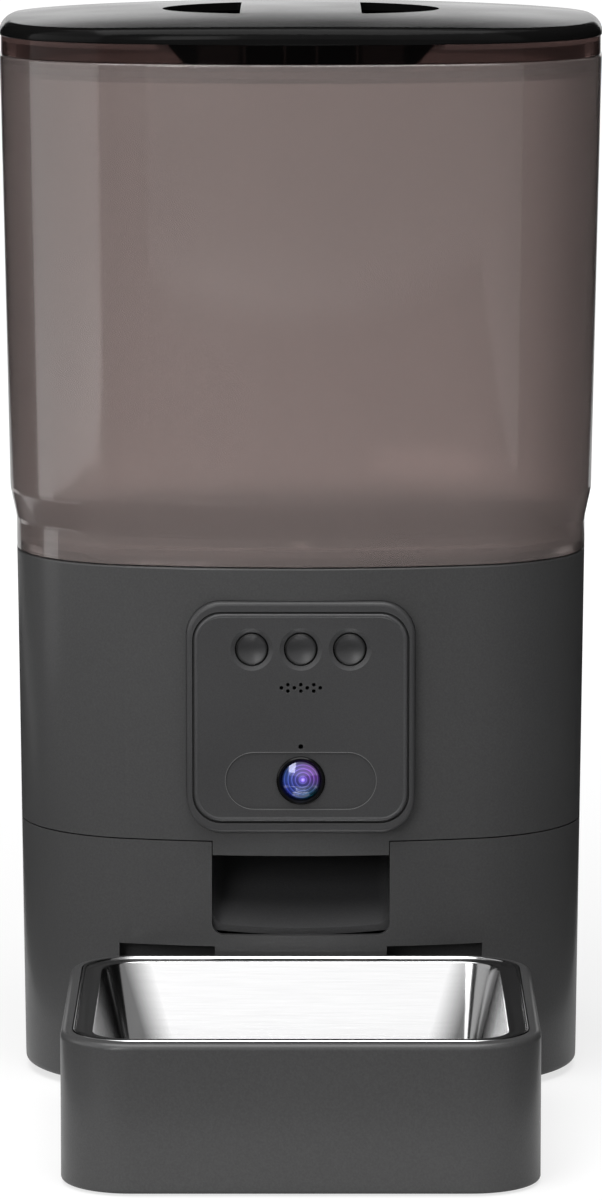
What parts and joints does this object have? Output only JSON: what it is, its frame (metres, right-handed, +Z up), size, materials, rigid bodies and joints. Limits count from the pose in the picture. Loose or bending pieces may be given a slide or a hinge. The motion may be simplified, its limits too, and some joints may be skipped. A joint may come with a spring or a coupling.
{
  "type": "automatic pet feeder",
  "caption": "Upright food hopper with a bridged finger-well lid over a dark dispenser housing with a camera panel, and a steel bowl in a slide-off tray before its outlet.",
  "frame": {"origin": "on the floor, at the middle of the whole feeder's plan", "axes": "+Z up, -Y towards the bowl, +X to the right as seen from the front"},
  "size_m": [0.18, 0.269, 0.3186],
  "materials": {
    "gloss_black": "polished",
    "smoked": "translucent, finely frosted",
    "smoked_lid": "translucent",
    "seal_rubber": "soft",
    "dark_shell": "fine grain",
    "inner_plastic": "satin",
    "rotor_plastic": "satin",
    "soft_blade": "silicone",
    "gear_plastic": "acetal",
    "brass": "turned",
    "shaft_steel": "ground",
    "motor_can": "zinc plated",
    "screw_steel": "zinc plated",
    "contact_metal": "nickel plated",
    "panel_black": "satin",
    "button_plastic": "satin",
    "circuit_board": "solder mask",
    "black_component": "moulded",
    "lens_glass": "coated",
    "lens_ring": "polished",
    "foot_rubber": "matte",
    "bowl_steel": "mirror polished"
  },
  "bodies": {
    "base": {"upper_housing": "dark_shell", "lower_housing": "dark_shell", "bottom_plate": "inner_plastic", "rotor_well": "inner_plastic", "flow_limiter": "soft_blade", "outlet_chute": "inner_plastic", "ir_emitter": "black_component", "ir_receiver": "black_component", "shaft_bushing": "brass", "gear_pins": "shaft_steel", "gearbox_case": "inner_plastic", "gearbox_lid": "inner_plastic", "gear_motor": "motor_can", "panel_frame": "panel_black", "panel_face": "panel_black", "button_board": "circuit_board", "speaker": "black_component", "microphone": "contact_metal", "lens_bezel": "lens_ring", "lens_glass": "lens_glass", "camera_barrel": "black_component", "camera_board": "circuit_board", "main_board": "circuit_board", "dc_jack": "black_component", "battery_contacts": "contact_metal", "rubber_feet": "foot_rubber", "base_screws": "screw_steel", "well_screws": "screw_steel", "gearbox_screws": "screw_steel", "board_screws": "screw_steel"},
    "tank": {"tank": "smoked", "tank_funnel": "inner_plastic"},
    "lid": {"lid_cover": "gloss_black", "lid_liner": "smoked_lid", "lid_seal": "seal_rubber"},
    "rotor": {"rotor": "rotor_plastic", "stirrer": "rotor_plastic", "drive_shaft": "shaft_steel", "output_gear": "gear_plastic"},
    "second_idler": {"second_idler": "gear_plastic"},
    "first_idler": {"first_idler": "gear_plastic"},
    "motor_pinion": {"motor_pinion": "brass"},
    "button_left": {"button_left": "button_plastic"},
    "button_centre": {"button_centre": "button_plastic"},
    "button_right": {"button_right": "button_plastic"},
    "tray": {"bowl_tray": "dark_shell", "tray_pads": "foot_rubber"},
    "bowl": {"steel_bowl": "bowl_steel"},
    "battery_door": {"battery_door": "inner_plastic"}
  },
  "joints": [
    {"name": "tank_lift", "type": "slide", "parent": "base", "child": "tank", "axis": [0, 0, 1], "range_m": [0, 0.08]},
    {"name": "lid_lift", "type": "slide", "parent": "tank", "child": "lid", "axis": [0, 0, 1], "range_m": [0, 0.06]},
    {"name": "rotor_spin", "type": "hinge", "parent": "base", "child": "rotor", "pos_m": [0, 0.05949, 0.096], "axis": [0, 0, 1], "continuous": true},
    {"name": "second_idler_spin", "type": "hinge", "parent": "base", "child": "second_idler", "pos_m": [0.01609, 0.07299, 0.062], "axis": [0, 0, 1], "continuous": true},
    {"name": "first_idler_spin", "type": "hinge", "parent": "base", "child": "first_idler", "pos_m": [-0.00087, 0.08358, 0.056], "axis": [0, 0, 1], "continuous": true},
    {"name": "motor_spin", "type": "hinge", "parent": "base", "child": "motor_pinion", "pos_m": [-0.01026, 0.10124, 0.056], "axis": [0, 0, 1], "continuous": true},
    {"name": "left_button_press", "type": "slide", "parent": "base", "child": "button_left", "axis": [0, 1, 0], "range_m": [0, 0.0008], "stiffness_N_per_m": 300, "springref_m": -0.0004},
    {"name": "centre_button_press", "type": "slide", "parent": "base", "child": "button_centre", "axis": [0, 1, 0], "range_m": [0, 0.0008], "stiffness_N_per_m": 300, "springref_m": -0.0004},
    {"name": "right_button_press", "type": "slide", "parent": "base", "child": "button_right", "axis": [0, 1, 0], "range_m": [0, 0.0008], "stiffness_N_per_m": 300, "springref_m": -0.0004},
    {"name": "tray_slide", "type": "slide", "parent": "base", "child": "tray", "axis": [0, -1, 0], "range_m": [0, 0.06]},
    {"name": "bowl_lift", "type": "slide", "parent": "tray", "child": "bowl", "axis": [0, 0, 1], "range_m": [0, 0.06]},
    {"name": "battery_door_swing", "type": "hinge", "parent": "base", "child": "battery_door", "pos_m": [0, 0.04849, 0.003], "axis": [-1, 0, 0], "range_deg": [0, 80]}
  ],
  "couplings": [
    {"joint": "second_idler_spin", "follows": "rotor_spin", "ratio": -3.2},
    {"joint": "first_idler_spin", "follows": "rotor_spin", "ratio": 9.6},
    {"joint": "motor_spin", "follows": "rotor_spin", "ratio": -28.8}
  ]
}
